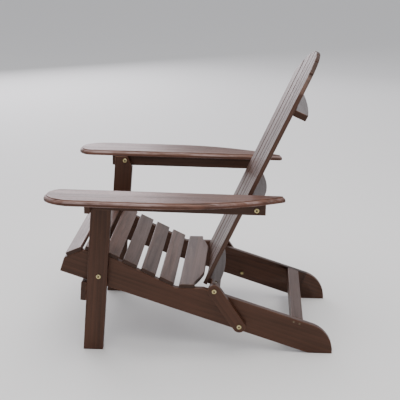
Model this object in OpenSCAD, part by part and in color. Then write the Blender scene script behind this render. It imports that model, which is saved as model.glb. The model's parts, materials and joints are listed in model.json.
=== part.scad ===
// Folding Adirondack garden chair, stained hardwood with plated pivot bolts.
// Units are millimetres, +Z is up, the chair faces -Y, and +X is the sitter's left.
// The origin is on the ground, under the middle of the chair's outside box.

/* [Seat] */
// Width across the outer faces of the side rails, and length of the seat slats
seat_w = 455; // [380:1:540]
// Depth of a side rail board, square to its lower edge
rail_depth = 100; // [85:1:125]
// Thickness of a side rail board
rail_t = 20; // [16:1:26]
// Slope of the side rails, falling to the rear
rail_slope = 18.4; // [15:0.1:22]
// Width of the seat slat on the nose of the rails
nose_slat_w = 56; // [40:1:64]
// How far the rails' nose stands out past the lower edge of that slat
nose_lip = 8; // [4:1:12]
// Radius of the rails' nose under that slat
nose_round = 14; // [8:1:24]
// Distance from the leg pivot back to the start of the rails' rounded heel
heel_reach = 711; // [650:1:800]
// Width of a seat slat
slat_w = 51; // [40:1:60]
// Thickness of a seat slat
slat_t = 13; // [10:1:18]
// Gap between seat slats
slat_gap = 15; // [6:1:22]
// How far the highest seat slat stands above the rails' straight rear part
crest_rise = 6; // [0:1:12]
// Angle between the dip of the seat and the rails' lower edge
dip_angle = 7.6; // [4:0.1:12]
// Gap between the middle of the last seat slat and the back slats
back_room = 5; // [3:0.5:20]
// Angle between the slat on the nose and the rails' lower edge
nose_slat_angle = 41.6; // [34:0.1:48]
// Angle between the second slat and the rails' lower edge
second_slat_angle = 10; // [4:0.1:16]
// How far the middle of the last seat slat bulges to the rear
slat_bulge = 38; // [0:1:45]
// Straight edge left at each end of that slat, inside the rail
slat_flat = 2; // [0:0.5:10]
// Width of the bar between the rails behind the seat
crossbar_w = 41; // [30:1:55]
// Thickness of the bar between the rails behind the seat
crossbar_t = 20; // [14:1:26]
// Distance from the leg pivot back to the front edge of that bar
crossbar_reach = 640; // [600:1:690]

/* [Front legs] */
// Width of a front leg
leg_w = 65; // [50:1:80]
// Thickness of a front leg
leg_t = 20; // [16:1:26]
// Lean of the front legs, with the foot forward
leg_lean = 5; // [0:0.5:9]
// Distance of a front leg's centre line in front of its pivots
leg_ahead = 4.5; // [0:0.5:8]
// Height of the leg pivot above the ground
leg_pivot_z = 263; // [230:1:300]
// Distance of the leg pivot from the rails' lower edge
leg_pivot_in = 33.5; // [26:0.5:45]
// Distance between the two pivots of a front leg
leg_span = 258; // [230:1:290]
// Height of the stretcher between the front legs
stretcher_h = 64; // [50:1:90]
// Thickness of the stretcher between the front legs
stretcher_t = 19; // [15:1:24]

/* [Links] */
// Distance between the two pivots of a link
link_span = 148; // [135:1:170]
// Width of a link
link_w = 42; // [34:1:50]
// Thickness of a link
link_t = 20; // [16:1:26]
// Distance from the leg pivot back to the link pivot, along the rail
link_reach = 486; // [460:1:520]
// Distance of the link pivot from the rails' lower edge
link_pivot_in = 21; // [18:0.5:30]
// Angle through which the links swing to the rear as the chair folds
link_fold = 85; // [78:0.5:100]

/* [Backrest] */
// Recline of the backrest from upright
recline = 24.75; // [20:0.25:30]
// Distance between the backrest's lower and upper pivots
back_span = 315; // [290:1:340]
// Number of slats to each side of the middle one
side_slats = 3; // [3:1:3]
// Pitch of the back slats at their lower ends
pitch_low = 53.7; // [46:0.1:58]
// Pitch of the back slats at their upper ends
pitch_top = 58.6; // [48:0.1:62]
// Gap between back slats
back_gap = 6; // [3:0.5:9]
// Thickness of a back slat
back_slat_t = 14; // [11:1:18]
// Radius of the curve that the back slats lie on
hollow_r = 1400; // [900:10:2400]
// Length of the middle slat above the lower pivot
back_top = 801; // [720:1:860]
// Length of the slats below the lower pivot
back_tail = 17; // [12:1:24]
// Radius of the arch along the slats' upper ends
arch_r = 232; // [215:1:300]
// Thickness of a crosspiece
cross_t = 20; // [16:1:24]
// Width of the necks at the ends of a crosspiece
neck_w = 32; // [26:1:36]
// Distance of the slats' rear faces in front of the pivots, at the middle
slat_lead = 11; // [8:1:14]
// Height of the top crosspiece above the lower pivot
top_cross_u = 626; // [560:1:660]
// Distance of the lower crosspiece's rear edge behind the pivots
lower_rear = 26; // [22:0.5:34]
// Distance of the middle crosspiece's rear edge behind the pivots
middle_rear = 32; // [24:0.5:40]
// Distance of the top crosspiece's rear edge behind the pivots
top_rear = 27; // [18:0.5:34]
// Radius of the lower crosspiece's rear edge
lower_rear_r = 1100; // [700:10:3000]
// Radius of the middle crosspiece's rear edge
middle_rear_r = 700; // [600:10:3000]
// Radius of the top crosspiece's rear edge
top_rear_r = 2400; // [700:10:3000]
// Radius of the crosspieces' rear corners
cross_round = 7; // [3:1:9]

/* [Arms] */
// Width of an arm
arm_w = 127; // [100:1:150]
// Thickness of an arm
arm_t = 18; // [15:1:24]
// Distance of an arm's inner edge outside the seat's side
arm_in = 5.5; // [3:0.5:12]
// Length of an arm in front of the arm pivot
arm_front = 176; // [150:1:200]
// Radius of an arm's rear tip
arm_tip_r = 12; // [9:1:20]
// Distance of an arm's foremost point from its inner edge
arm_tip_in = 58; // [40:1:70]
// Length of the rounding from that point to the inner edge
arm_round_in = 52; // [30:1:80]
// Length of the rounding from that point to the outer edge
arm_round_out = 100; // [60:1:130]
// Distance behind the arm pivot at which an arm starts to taper
arm_taper_at = 182; // [140:1:260]
// Radius of an arm's tapering outer edge
arm_taper_r = 760; // [700:10:1200]
// Depth of the step along an arm's upper edge
arm_step = 4; // [2:0.5:6]
// Width of the step along an arm's upper edge
arm_step_w = 8; // [4:1:12]
// Height of an arm support
support_h = 39; // [34:1:48]
// Thickness of an arm support
support_t = 20; // [16:1:26]
// Length of an arm support in front of the arm pivot
support_front = 50; // [44:1:60]
// Length of an arm support behind its rear pivot
support_rear = 28; // [20:1:36]
// Height of the front pivot above the support's lower edge
support_pivot_front = 22.5; // [20:0.5:26]
// Height of the rear pivot above the support's lower edge
support_pivot_rear = 16; // [14:0.5:20]
// Width of the block at the front of an arm support
block_w = 18; // [12:1:26]
// Thickness of the block at the front of an arm support
block_t = 20; // [12:1:26]
// How far the block reaches below the arm support
block_drop = 7; // [0:1:12]
// How far the block stands out in front of the arm support
block_ahead = 2; // [0:0.5:6]

/* [Fasteners] */
// Radius of a pivot bolt
bolt_r = 4; // [3:0.5:5]
// Running clearance around a pivot bolt
bolt_fit = 0.08; // [0.04:0.01:0.1]
// Radius of a bolt head
head_r = 7.5; // [7:0.5:10]
// Thickness of a bolt head
head_t = 3; // [2:0.5:4]
// Height of the bevel round a bolt head
head_bevel_h = 0.8; // [0.4:0.1:1.2]
// Width of the bevel round a bolt head
head_bevel_w = 1.2; // [0.6:0.1:2]
// Width across the flats of the hex socket in a bolt head
socket_w = 6; // [4:0.5:7]
// Depth of the hex socket
socket_d = 2; // [1:0.5:2.5]
// Width across the flats of a pivot nut
nut_w = 13; // [12:0.5:16]
// Thickness of a pivot nut
nut_t = 6; // [5:0.5:8]
// How far a pivot bolt stands out of its nut
bolt_past = 1; // [0:0.5:3]
// Outer radius of a washer
washer_r = 11; // [10:0.5:14]
// Radius of a barrel nut
barrel_r = 5; // [5:0.5:6]
// How much shorter a barrel nut is than the crosspiece is thick
barrel_short = 4; // [2:1:8]
// Depth of the bolt hole in the end of a crosspiece
bolt_grip = 46; // [38:1:60]
// Room left in that hole past the end of the bolt
bolt_room = 6; // [5:0.5:8]
// Distance from the end of that hole to the barrel nut
barrel_in = 3; // [2:0.5:5]
// Wood left over the end of the threaded insert in an arm support
insert_cover = 4; // [3:0.5:6]
// Thickness of the threaded insert's closed end
insert_end = 4; // [3:0.5:6]
// Depth of the threads, which are drawn as plain bores
thread_depth = 0.6; // [0.4:0.1:0.8]
// Radius of a wood screw's head
screw_head_r = 3.6; // [3:0.2:4.4]
// Radius of a wood screw's shank
screw_r = 2; // [1.5:0.1:2.4]
// Length of a wood screw
screw_len = 36; // [30:1:45]
// Distance of a seat slat's screws from its edges, as a share of its width
slat_screw_share = 0.28; // [0.2:0.01:0.35]
// Distance of the screws in the crossbar and stretcher from their edges, as a share of width
bar_screw_share = 0.25; // [0.2:0.01:0.35]
// Distance of an arm's end screws from the pivots
arm_screw_in = 34; // [24:1:60]
// How far those screws reach into an arm
arm_bite = 12; // [8:1:14]

/* [Clearances] */
// Side clearance between pieces that turn past each other
side_gap = 1.4; // [1:0.1:2]
// Clearance where a piece rests on a stop
stop_gap = 0.4; // [0.3:0.1:1]
// Clearance where pieces meet in the folded chair
fold_gap = 2; // [1:0.5:4]
// Clearance around a screw
screw_fit = 0.05; // [0.02:0.01:0.1]

/* [Hidden] */
$fn = 96;

WOOD = "#4b352b";
WOOD_PALE = "#5d4436";
BRASS = "#c8b878";
STEEL = "#8f8878";

// Reach of cuts past the faces that they open
over = 5;
// A length greater than the chair, for cutting shapes
big = 2000;
// Lap between solids that are joined into one
lap = 0.01;
// Number of seat slats in the dip, and the place of the last seat slat, from 0 at the nose
dip_slats = 4;
last_slat = dip_slats + 2;

// Layers across the chair, from its middle plane to +X
rail_x1 = seat_w / 2;
rail_x0 = rail_x1 - rail_t;
leg_x0 = rail_x1 + side_gap;
leg_x1 = leg_x0 + leg_t;
link_x0 = rail_x1 + side_gap;
link_x1 = link_x0 + link_t;
support_x0 = max(leg_x1, link_x1) + side_gap;
support_x1 = support_x0 + support_t;
arm_x0 = rail_x1 + arm_in;
arm_x1 = arm_x0 + arm_w;
// The three crosspieces' ends: the lower meets the links, the middle meets the arm supports
lower_end = link_x0 - side_gap;
middle_end = support_x0 - side_gap;

// Side plan, as [y, z]. The rail frame has its origin at the leg pivot's foot on the rails'
// lower edge, with s along that edge to the rear and h square to it.
function dir(a) = [cos(a), sin(a)];
function angle_of(v) = atan2(v[1], v[0]);
function turn(v, a) = [v[0] * cos(a) - v[1] * sin(a), v[0] * sin(a) + v[1] * cos(a)];
function rail_to_world(p) = [0, leg_pivot_z] + turn(p - [0, leg_pivot_in], -rail_slope);
function world_to_rail(p) = [0, leg_pivot_in] + turn(p - [0, leg_pivot_z], rail_slope);
// Where the line through p along angle a meets the line through q along angle b
function meet(p, a, q, b) =
    let (k = ((q[0] - p[0]) * sin(b) - (q[1] - p[1]) * cos(b)) / sin(b - a)) p + k * dir(a);
// The crossing of circles round p and q that lies to the left of the way from p to q
function cross_circles(p, r, q, t) =
    let (v = q - p, d = norm(v), x = (d * d + r * r - t * t) / (2 * d))
    p + turn([x, sqrt(r * r - x * x)], angle_of(v));
function arc(c, r, a, b, n) = [for (i = [0:n]) c + r * dir(a + (b - a) * i / n)];

// Pivots with the chair open, in the rail frame
leg_pivot = [0, leg_pivot_in];
link_pivot = [link_reach, link_pivot_in];
back_tilt = recline - rail_slope;
lower_h = rail_depth + stop_gap + cross_t / 2 * cos(back_tilt) + neck_w / 2 * sin(back_tilt);
link_rise = lower_h - link_pivot_in;
lower_pivot = [link_reach - sqrt(link_span * link_span - link_rise * link_rise), lower_h];
back_angle = 90 - back_tilt;
upper_pivot = lower_pivot + back_span * dir(back_angle);
arm_pivot = leg_pivot + leg_span * dir(90 - leg_lean + rail_slope);

// The front end of the first slat in the dip: the slats are laid out from the backrest forward
dip_pitch = slat_w + slat_gap;
dip_run = (dip_slats - 1) * dip_pitch + slat_w;
seat_run = dip_run * dir(-dip_angle) + slat_gap * dir((rail_slope - dip_angle) / 2)
    + (slat_w + slat_bulge) * dir(rail_slope);
seat_crest_h = rail_depth + slat_t + crest_rise;
back_face = lower_pivot + (slat_lead + back_slat_t) * dir(back_angle + 90);
seat_end = meet(back_face, back_angle, [0, seat_crest_h + seat_run[1]], 0) - [back_room, 0];
seat_crest = seat_end - seat_run;

// Pivots with the chair folded: the links have swung over their pivots and the outer slats
// have come down on the top of the seat
slat_front_w = slat_lead + back_slat_t + hollow(pitch_top * side_slats + pitch_top / 2);
lower_folded = link_pivot + turn(lower_pivot - link_pivot, -link_fold);
crest_way = seat_crest - lower_folded;
back_folded = angle_of(crest_way) - asin((slat_front_w + fold_gap) / norm(crest_way))
    + (crest_way[1] < 0 ? 360 : 0);
upper_folded = lower_folded + back_span * dir(back_folded);
arm_span = norm(upper_pivot - arm_pivot);
arm_folded = cross_circles(leg_pivot, leg_span, upper_folded, arm_span);

// How far each piece turns as the chair folds, about +X
link_turn = -link_fold;
back_turn = back_folded - back_angle;
leg_turn = angle_of(arm_folded - leg_pivot) - angle_of(arm_pivot - leg_pivot);
arm_turn = angle_of(upper_folded - arm_folded) - angle_of(upper_pivot - arm_pivot);

// The same pivots in the chair's own frame, before it is centred
leg_pw = rail_to_world(leg_pivot);
link_pw = rail_to_world(link_pivot);
lower_pw = rail_to_world(lower_pivot);
upper_pw = rail_to_world(upper_pivot);
arm_pw = rail_to_world(arm_pivot);
// Fall of the arms to the rear
arm_angle = angle_of(upper_pw - arm_pw)
    + asin((support_pivot_front - support_pivot_rear) / arm_span);
arm_up = support_h - support_pivot_front;

// Seat slats: each is [front end of its top, angle], in the rail frame
slat_2_rear = seat_crest - slat_gap * dir((second_slat_angle - dip_angle) / 2);
slat_2_front = slat_2_rear - slat_w * dir(second_slat_angle);
slat_1_rear = slat_2_front - slat_gap * dir((nose_slat_angle + second_slat_angle) / 2);
slat_1_front = slat_1_rear - nose_slat_w * dir(nose_slat_angle);
dip_end = seat_crest + dip_run * dir(-dip_angle);
slat_7_front = dip_end + slat_gap * dir((rail_slope - dip_angle) / 2);
seat_tops = concat(
    [[slat_1_front, nose_slat_angle], [slat_2_front, second_slat_angle]],
    [for (i = [0:dip_slats - 1]) [seat_crest + i * dip_pitch * dir(-dip_angle), -dip_angle]],
    [[slat_7_front, rail_slope]]
);
function seat_slat_w(i) = i == 0 ? nose_slat_w : slat_w;
function under(i, along) =
    let (t = seat_tops[i]) t[0] + along * dir(t[1]) - slat_t * dir(t[1] + 90);

// The box's middle, which the origin stands under
nose_y = rail_to_world([under(0, 0)[0] - nose_lip, 0])[0];
front_y = min([
    nose_y, for (z = [arm_up, arm_up + arm_t]) (arm_pw + turn([-arm_front, z], arm_angle))[0]
]);
heel_c = rail_to_world([heel_reach, 0]);
rear_y = heel_c[0] + sqrt(rail_depth * rail_depth - heel_c[1] * heel_c[1]);
centre_y = (front_y + rear_y) / 2;

// Distance of the back slats' curve in front of its middle, at x
function hollow(x) = hollow_r - sqrt(hollow_r * hollow_r - x * x);
pitch_mid = (pitch_low + pitch_top) / 2;
arch_u = back_top - arch_r;
function slat_angle(i) = asin(i * pitch_mid / hollow_r);
function slat_seat(i) = [i * pitch_mid, -slat_lead - hollow(i * pitch_mid)];
// Corners of the facets that the slats' rear faces lie on
function facet(i) = meet(slat_seat(i), -slat_angle(i), slat_seat(i + 1), -slat_angle(i + 1));
function facet_end(x) =
    meet(slat_seat(side_slats), -slat_angle(side_slats), [x, 0], 90);
// Half width across the back slats at height u
function back_half(u) =
    let (k = (u + back_tail) / (back_top + back_tail))
    (side_slats + 0.5) * (pitch_low + (pitch_top - pitch_low) * k) - back_gap / 2;

// ---- Frames and helpers ----

module world() { translate([0, -centre_y, 0]) children(); }

// Children in the rail frame: y is s and z is h
module in_rail() {
    world() translate([0, 0, leg_pivot_z]) rotate([-rail_slope, 0, 0])
        translate([0, 0, -leg_pivot_in]) children();
}

// Children in the backrest's frame: z runs up the slats from the lower pivot, y to the rear
module in_back() {
    world() translate([0, lower_pw[0], lower_pw[1]]) rotate([-recline, 0, 0]) children();
}

// Children in the arm's frame: the origin is at the arm pivot, y runs along the arm
module in_arm() {
    world() translate([0, arm_pw[0], arm_pw[1]]) rotate([arm_angle, 0, 0]) children();
}

// A side view in [y, z] made into a board from x0, t thick
module board(x0, t) { translate([x0, 0, 0]) rotate([90, 0, 90]) linear_extrude(t) children(); }

// A round bar along X
module bar_x(x0, x1, r) { translate([x0, 0, 0]) rotate([0, 90, 0]) cylinder(h = x1 - x0, r = r); }

module both() {
    children();
    mirror([1, 0, 0]) children();
}

module at(p) { translate([0, p[0], p[1]]) children(); }

// A pivot bolt along +X, with its shank from x0 and its head from x1
module bolt(x0, x1) {
    difference() {
        union() {
            bar_x(x0, x1 + lap, bolt_r);
            bar_x(x1, x1 + head_t - head_bevel_h, head_r);
            translate([x1 + head_t - head_bevel_h, 0, 0]) rotate([0, 90, 0])
                cylinder(h = head_bevel_h, r1 = head_r, r2 = head_r - head_bevel_w);
        }
        translate([x1 + head_t - socket_d, 0, 0]) rotate([0, 90, 0])
            cylinder(h = socket_d + over, r = socket_w / sqrt(3), $fn = 6);
    }
}

module bolt_hole(x0, x1) { bar_x(x0 - over, x1 + over, bolt_r + bolt_fit); }

module nut(x0) {
    difference() {
        translate([x0, 0, 0]) rotate([0, 90, 0])
            cylinder(h = nut_t, r = nut_w / sqrt(3), $fn = 6);
        bolt_hole(x0, x0 + nut_t);
    }
}

// A washer on the face at x0, clear of the piece that turns past it
module washer(x0) {
    difference() {
        bar_x(x0, x0 + side_gap - stop_gap, washer_r);
        bolt_hole(x0, x0 + side_gap);
    }
}

// A countersunk wood screw that points down, with the top of its head at the origin
module screw(grow = 0) {
    head = screw_head_r + grow;
    shank = screw_r + grow;
    translate([0, 0, -(head - shank)]) cylinder(h = head - shank + grow, r1 = shank, r2 = head);
    translate([0, 0, -screw_len - grow])
        cylinder(h = screw_len - (head - shank) + grow + lap, r = shank);
}

// ---- Seat ----

module rail_outline() {
    ledge = meet(under(last_slat - 1, slat_w), -dip_angle, under(last_slat, 0), rail_slope);
    ledge_end = meet(ledge, rail_slope, [0, rail_depth], 0);
    lip = under(0, 0);
    nose = lip[0] - nose_lip;
    round_rise = sqrt(nose_round * nose_round - pow(nose_round - nose_lip, 2));
    round_c = [nose + nose_round, lip[1] - round_rise];
    polygon(concat(
        [[nose, 0]],
        arc(round_c, nose_round, 180, angle_of(lip - round_c), 8),
        [under(0, nose_slat_w), under(1, 0), under(1, slat_w), under(2, 0)],
        [ledge, ledge_end, [heel_reach, rail_depth], [heel_reach, 0]]
    ));
    intersection() {
        translate([heel_reach, 0]) circle(r = rail_depth);
        translate([heel_reach - lap, 0]) square([2 * rail_depth, rail_depth]);
    }
}

module rail_cuts() {
    at_rail_pivots() bolt_hole(rail_x0, rail_x1);
    for_seat_screws() screw(screw_fit);
    for_crossbar_screws() screw(screw_fit);
}

module at_rail_pivots() {
    in_rail() at(leg_pivot) children();
    in_rail() at(link_pivot) children();
}

module left_rail() {
    difference() {
        in_rail() board(rail_x0, rail_t) rail_outline();
        rail_cuts();
        translate([-big / 2, -big / 2, -big]) cube([big, big, big]);
    }
}

// The seat slat i, from 0 at the nose
module seat_slat(i) {
    top = seat_tops[i];
    difference() {
        in_rail() at(top[0]) rotate([top[1], 0, 0]) translate([-seat_w / 2, 0, -slat_t])
            linear_extrude(slat_t) seat_slat_outline(i);
        both() for_seat_screws() screw(screw_fit);
    }
}

module seat_slat_outline(i) {
    square([seat_w, seat_slat_w(i)]);
    if (i == last_slat) {
        flat = rail_t + slat_flat;
        span = seat_w / 2 - flat;
        r = (span * span + slat_bulge * slat_bulge) / (2 * slat_bulge);
        intersection() {
            translate([seat_w / 2, slat_w + slat_bulge - r]) circle(r = r, $fn = 180);
            translate([flat, slat_w / 2]) square([2 * span, slat_w]);
        }
    }
}

// Children at each seat screw of the +X rail
module for_seat_screws() {
    for (i = [0:last_slat], k = [slat_screw_share, 1 - slat_screw_share])
        in_rail() at(seat_tops[i][0] + k * seat_slat_w(i) * dir(seat_tops[i][1]))
            rotate([seat_tops[i][1], 0, 0]) translate([rail_x1 - rail_t / 2, 0, 0]) children();
}

// Children at each crossbar screw of the +X rail, pointing inward
module for_crossbar_screws() {
    for (k = [bar_screw_share, 1 - bar_screw_share])
        in_rail() at([crossbar_reach + k * crossbar_w, rail_depth - crossbar_t / 2])
            translate([rail_x1, 0, 0]) rotate([0, 90, 0]) children();
}

module crossbar() {
    difference() {
        in_rail() translate([-rail_x0, crossbar_reach, rail_depth - crossbar_t])
            cube([2 * rail_x0, crossbar_w, crossbar_t]);
        both() for_crossbar_screws() screw(screw_fit);
    }
}

// ---- Front legs ----

leg_n = dir(-leg_lean);
// Where the leg's edge at the given side, -1 front or 1 rear, meets the line through p along a
function leg_edge(side, p, a) =
    meet(leg_pw + (side * leg_w / 2 - leg_ahead) * leg_n, 90 - leg_lean, p, a);
leg_top = arm_pw + turn([0, arm_up - side_gap], arm_angle);

module left_leg() {
    difference() {
        world() board(leg_x0, leg_t) leg_outline();
        in_rail() at(leg_pivot) bolt_hole(leg_x0, leg_x1);
        in_arm() bolt_hole(leg_x0, leg_x1);
        both() for_stretcher_screws() screw(screw_fit);
    }
}

module leg_outline() {
    difference() {
        polygon([
            leg_edge(-1, [0, 0], 0), leg_edge(1, [0, 0], 0),
            leg_edge(1, leg_top, arm_angle), leg_edge(-1, leg_top, arm_angle)
        ]);
        // The corner that meets the arm's underside when the chair is folded
        translate(arm_pw) rotate(arm_angle - (leg_turn - arm_turn))
            translate([-big / 2, arm_up - fold_gap]) square([big, leg_w]);
    }
}

// The stretcher lies on the legs' front edges, under the rails' lower edges
stretcher_front = leg_pw - (leg_w / 2 + leg_ahead + stretcher_t) * leg_n;
stretcher_top = meet(stretcher_front, 90 - leg_lean,
    rail_to_world([0, -stop_gap]), -rail_slope);
stretcher_rear_top = stretcher_top + stretcher_t * leg_n;
rail_under = meet(stretcher_rear_top, 90 - leg_lean, rail_to_world([0, -stop_gap]), -rail_slope);
stretcher_low = min(0, (rail_under - stretcher_rear_top) * dir(90 - leg_lean));

module in_stretcher() {
    world() at(stretcher_top + stretcher_low * dir(90 - leg_lean))
        rotate([-leg_lean, 0, 0]) children();
}

module stretcher() {
    difference() {
        in_stretcher() translate([-leg_x1, 0, -stretcher_h])
            cube([2 * leg_x1, stretcher_t, stretcher_h]);
        both() for_stretcher_screws() screw(screw_fit);
    }
}

// Children at each stretcher screw of the +X leg, pointing to the rear
module for_stretcher_screws() {
    for (k = [bar_screw_share, 1 - bar_screw_share])
        in_stretcher() translate([leg_x0 + leg_t / 2, 0, -k * stretcher_h])
            rotate([90, 0, 0]) children();
}

// ---- Links ----

module left_link_solid() {
    difference() {
        in_rail() board(link_x0, link_t) link_outline();
        in_rail() at(link_pivot) bolt_hole(link_x0, link_x1);
        in_rail() at(lower_pivot) bolt_hole(link_x0, link_x1);
    }
}

module link_outline() {
    a = angle_of(lower_pivot - link_pivot);
    polygon(concat(
        arc(lower_pivot, link_w / 2, a - 90, a + 90, 32),
        arc(link_pivot, link_w / 2, a + 90, a + 270, 32)
    ));
}

// ---- Backrest ----

module crosspiece_outline(half, end, rear, rear_r) {
    offset(r = cross_round) offset(delta = -cross_round) crosspiece_plan(half, end, rear, rear_r);
    intersection() {
        crosspiece_plan(half, end, rear, rear_r);
        translate([-big / 2, -big]) square([big, big]);
    }
}

module crosspiece_plan(half, end, rear, rear_r) {
    left = facet_end(half);
    intersection() {
        polygon(concat(
            [[-left[0], left[1]]],
            [for (i = [-side_slats:side_slats - 1]) facet(i)],
            [left, [left[0], big / 4], [-left[0], big / 4]]
        ));
        translate([0, rear - rear_r]) circle(r = rear_r, $fn = 240);
    }
    if (end > half) for (m = [0, 1]) mirror([m, 0])
        translate([half - neck_w, -neck_w / 2]) square([end - half + neck_w, neck_w]);
}

// The crosspiece k: 0 lower, 1 middle, 2 top
cross_u = [0, back_span, top_cross_u];
cross_end = [lower_end, middle_end, 0];
cross_rear = [lower_rear, middle_rear, top_rear];
cross_rear_r = [lower_rear_r, middle_rear_r, top_rear_r];
// How far in from a crosspiece's end its bolt ends, and its barrel nut lies
bolt_in = bolt_grip - bolt_room;
barrel_at = bolt_grip - barrel_in - barrel_r;

module crosspiece(k) {
    difference() {
        in_back() translate([0, 0, cross_u[k] - cross_t / 2]) linear_extrude(cross_t)
            crosspiece_outline(
                back_half(cross_u[k]) - back_gap / 2, cross_end[k], cross_rear[k], cross_rear_r[k]
            );
        if (k < 2) both() in_back() translate([0, 0, cross_u[k]]) {
            bolt_hole(cross_end[k] - bolt_grip + over, cross_end[k]);
            translate([cross_end[k] - barrel_at, 0, 0])
                cylinder(h = 2 * cross_t, r = barrel_r + screw_fit, center = true);
        }
        for_back_screws() screw(screw_fit);
    }
}

module back_slat(i) {
    s = slat_seat(i);
    low = pitch_low - back_gap;
    wide = pitch_top - back_gap;
    low_x = i * (pitch_low - pitch_mid);
    top_x = i * (pitch_top - pitch_mid);
    difference() {
        in_back() translate([s[0], s[1], 0]) rotate([0, 0, -slat_angle(i)]) rotate([90, 0, 0])
            linear_extrude(back_slat_t) intersection() {
                polygon([
                    [low_x - low / 2, -back_tail], [low_x + low / 2, -back_tail],
                    [top_x + wide / 2, back_top], [top_x - wide / 2, back_top]
                ]);
                union() {
                    translate([-s[0], arch_u]) circle(r = arch_r, $fn = 180);
                    translate([-big / 2, -back_tail]) square([big, arch_u + back_tail]);
                }
            }
        for_back_screws() screw(screw_fit);
    }
}

// Children at each screw of the back slats, pointing to the rear
module for_back_screws() {
    for (i = [-side_slats:side_slats], u = cross_u) {
        s = slat_seat(i);
        k = (u + back_tail) / (back_top + back_tail);
        x = i * (pitch_low + (pitch_top - pitch_low) * k - pitch_mid);
        in_back() translate([s[0], s[1], u]) rotate([0, 0, -slat_angle(i)])
            translate([x, -back_slat_t, 0]) rotate([90, 0, 0]) children();
    }
}

// ---- Arms ----

// A quarter of an oval from its centre c, with half axes a, from angle g on
function oval(c, a, g, n) =
    [for (i = [0:n]) c + [a[0] * cos(g + 90 * i / n), a[1] * sin(g + 90 * i / n)]];

// The arm's outline, drawn in by the given inset: an oval front, a straight inner edge, and
// an outer edge that curves in to a round tip
module arm_outline(inset) {
    x0 = arm_x0 + inset;
    x1 = arm_x1 - inset;
    front = arm_x0 + arm_tip_in;
    taper_c = [arm_x1 - arm_taper_r, arm_taper_at];
    // The tip's arc starts this much on from the point that it shares with the taper
    tip_step = 10;
    tip_x = arm_x0 + arm_tip_r - taper_c[0];
    tip_way = [tip_x, sqrt(pow(arm_taper_r - arm_tip_r, 2) - tip_x * tip_x)];
    polygon(concat(
        oval([front, -arm_front + arm_round_in], [front - x0, arm_round_in - inset], 180, 12),
        oval([front, -arm_front + arm_round_out], [x1 - front, arm_round_out - inset], 270, 18),
        arc(taper_c, arm_taper_r - inset, 0, angle_of(tip_way), 24),
        arc(taper_c + tip_way, arm_tip_r - inset, angle_of(tip_way) + tip_step, 180, 12)
    ));
}

module left_arm_solid() {
    difference() {
        in_arm() translate([0, 0, arm_up]) {
            linear_extrude(arm_t - arm_step) arm_outline(0);
            linear_extrude(arm_t) arm_outline(arm_step_w);
        }
        for_arm_screws() deep_screw_hole();
    }
}

// Distance behind the arm pivot of the rear pivot, along the arm
rear_pivot_y = sqrt(pow(arm_span, 2) - pow(support_pivot_front - support_pivot_rear, 2));
rear_pivot = [rear_pivot_y, support_pivot_rear - support_pivot_front];
// The block's front face, along the arm
block_y = -support_front - block_ahead;

module left_support_solid() {
    difference() {
        in_arm() translate([support_x0, -support_front, -support_pivot_front])
            cube([support_t, support_front + rear_pivot_y + support_rear, support_h]);
        in_arm() at(rear_pivot) bolt_hole(support_x0, support_x1);
        in_arm() bar_x(support_x0 - over, support_x1 - insert_cover, barrel_r + screw_fit);
        for_arm_screws() deep_screw_hole();
    }
}

module left_block_solid() {
    difference() {
        in_arm() translate([support_x1, block_y, -support_pivot_front - block_drop])
            cube([block_t, block_w, support_h + block_drop]);
        for_arm_screws() deep_screw_hole();
    }
}

// Children at each screw of the +X arm, pointing up: three in the support, one in the block
module for_arm_screws() {
    in_arm() {
        for (y = [arm_screw_in, rear_pivot_y / 2, rear_pivot_y - arm_screw_in])
            translate([support_x0 + support_t / 2, y, arm_up + arm_bite - screw_len])
                mirror([0, 0, 1]) children();
        translate([
            support_x1 + block_t / 2, block_y + block_w / 2, arm_up + arm_bite - screw_len
        ]) mirror([0, 0, 1]) children();
    }
}

// A screw's hole with the counterbore that lets its head in
module deep_screw_hole() {
    screw(screw_fit);
    cylinder(h = support_h, r = screw_head_r + screw_fit);
}

// The threaded insert in an arm support that takes the arm pivot bolt
module left_arm_nut_solid() {
    in_arm() difference() {
        bar_x(support_x0, support_x1 - insert_cover - screw_fit, barrel_r);
        bar_x(support_x0 - over, support_x1 - insert_cover - insert_end, bolt_r - thread_depth);
    }
}

// ---- One piece for each node ----

color(WOOD) left_rail();  // left_side_rail
color(WOOD) mirror([1, 0, 0]) left_rail();  // right_side_rail
color(WOOD_PALE) crossbar();  // rear_crossbar
color(WOOD_PALE) seat_slat(0);  // seat_slat_1
color(WOOD_PALE) seat_slat(1);  // seat_slat_2
color(WOOD_PALE) seat_slat(2);  // seat_slat_3
color(WOOD_PALE) seat_slat(3);  // seat_slat_4
color(WOOD_PALE) seat_slat(4);  // seat_slat_5
color(WOOD_PALE) seat_slat(5);  // seat_slat_6
color(WOOD_PALE) seat_slat(6);  // seat_slat_7
color(STEEL) both() for_seat_screws() screw();  // seat_screws
color(STEEL) both() for_crossbar_screws() screw();  // crossbar_screws
color(BRASS) both() in_rail() at(leg_pivot) bolt(rail_x0 - nut_t - bolt_past, leg_x1 + stop_gap);  // leg_pivot_bolts
color(BRASS) both() in_rail() at(leg_pivot) nut(rail_x0 - nut_t);  // leg_pivot_nuts
color(BRASS) both() in_rail() at(link_pivot) bolt(rail_x0 - nut_t - bolt_past, link_x1 + stop_gap);  // link_pivot_bolts
color(BRASS) both() in_rail() at(link_pivot) nut(rail_x0 - nut_t);  // link_pivot_nuts
color(STEEL) both() at_rail_pivots() washer(rail_x1);  // rail_washers
color(WOOD) left_leg();  // left_front_leg
color(WOOD) mirror([1, 0, 0]) left_leg();  // right_front_leg
color(WOOD) stretcher();  // front_stretcher
color(STEEL) both() for_stretcher_screws() screw();  // stretcher_screws
color(BRASS) both() in_arm() mirror([1, 0, 0]) bolt(-leg_x1, -leg_x0);  // arm_pivot_bolts
color(STEEL) both() in_arm() washer(leg_x1);  // arm_washers
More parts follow.
